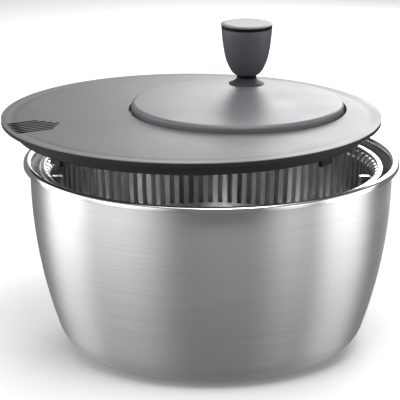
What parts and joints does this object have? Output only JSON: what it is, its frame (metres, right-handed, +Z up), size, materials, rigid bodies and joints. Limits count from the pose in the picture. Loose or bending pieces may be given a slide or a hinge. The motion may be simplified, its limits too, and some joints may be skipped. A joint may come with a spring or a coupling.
{
  "type": "salad spinner",
  "caption": "Steel bowl with an inner slotted basket and a raised crank lid whose off-centre knob disc spins the basket to dry leaves.",
  "frame": {"origin": "middle of the bowl's flat foot", "axes": "+Z up along the bowl's axis, +X to the right and +Y to the back, seen from the side where the lid's pour slots are at the left"},
  "size_m": [0.279, 0.266, 0.2159],
  "materials": {
    "bowl_steel": "brushed",
    "bright_steel": "polished",
    "basket_steel": "polished",
    "lid_plastic": "satin",
    "dark_plastic": "matte",
    "cap_plastic": "gloss",
    "gear_plastic": "satin"
  },
  "bodies": {
    "bowl": {"bowl_shell": "bowl_steel", "pivot_stud": "bright_steel"},
    "basket": {"basket": "basket_steel", "basket_socket": "gear_plastic"},
    "lid": {"lid_cover": "lid_plastic", "lid_base": "dark_plastic", "crank_axle": "bright_steel", "axle_screw": "bright_steel", "shaft_bush": "gear_plastic"},
    "crank": {"crank_disc": "lid_plastic", "axle_washer": "bright_steel", "ring_gear": "gear_plastic", "knob_spindle": "bright_steel", "knob_foot": "lid_plastic", "knob_clip": "bright_steel"},
    "knob": {"knob_body": "lid_plastic", "knob_ring": "dark_plastic", "knob_cap": "cap_plastic"},
    "drive": {"pinion": "gear_plastic", "drive_shaft": "bright_steel", "shaft_washer": "bright_steel", "drive_spider": "dark_plastic", "spider_screw": "bright_steel"}
  },
  "joints": [
    {"name": "lid_lift", "type": "slide", "parent": "bowl", "child": "lid", "axis": [-0.4603, 0, 0.8878], "range_m": [-0.0304, 0.1]},
    {"name": "crank_spin", "type": "hinge", "parent": "lid", "child": "crank", "pos_m": [0.01871, 0.02124, 0.1659], "axis": [0, 0, 1], "continuous": true},
    {"name": "knob_spin", "type": "hinge", "parent": "crank", "child": "knob", "pos_m": [0.02621, 0.07825, 0.185], "axis": [0, 0, 1], "continuous": true},
    {"name": "drive_spin", "type": "hinge", "parent": "lid", "child": "drive", "pos_m": [-0.014, 0, 0.1659], "axis": [0, 0, 1], "continuous": true},
    {"name": "basket_spin", "type": "hinge", "parent": "bowl", "child": "basket", "pos_m": [0, 0, 0.012], "axis": [0, 0, 1], "continuous": true}
  ],
  "couplings": [
    {"joint": "drive_spin", "follows": "crank_spin", "ratio": 3.6},
    {"joint": "basket_spin", "follows": "crank_spin", "ratio": 3.6}
  ]
}
